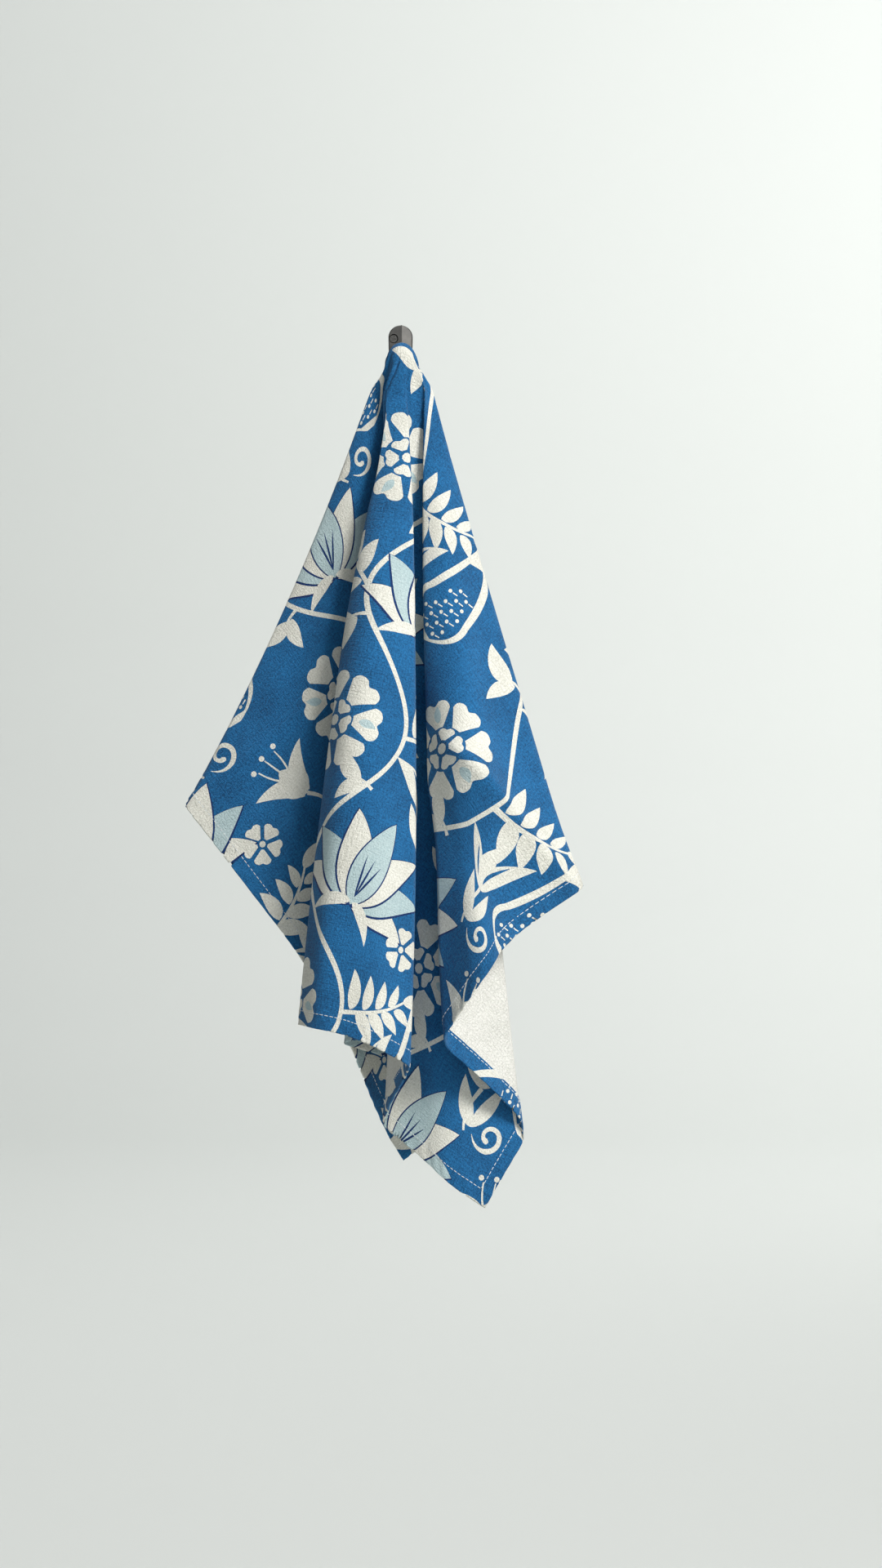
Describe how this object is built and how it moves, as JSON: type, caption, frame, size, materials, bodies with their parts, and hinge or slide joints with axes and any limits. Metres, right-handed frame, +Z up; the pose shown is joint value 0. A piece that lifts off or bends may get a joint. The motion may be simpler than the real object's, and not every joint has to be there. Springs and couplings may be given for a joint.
{
  "type": "tea towel on a wall hook",
  "caption": "Printed cotton tea towel that hangs in deep folds by its top hem from a plain screwed wall hook.",
  "frame": {"origin": "centre of the hook plate's back face, which lies on the wall", "axes": "+Y into the wall, +Z up, +X to the right of someone who faces the wall"},
  "size_m": [0.2728, 0.1419, 0.6285],
  "materials": {
    "cotton": "woven cotton, printed on one side",
    "gunmetal": "satin, dark grey plating",
    "screw_steel": "satin"
  },
  "bodies": {
    "root": {"towel": "cotton", "hook": "gunmetal", "screw": "screw_steel"}
  },
  "joints": []
}
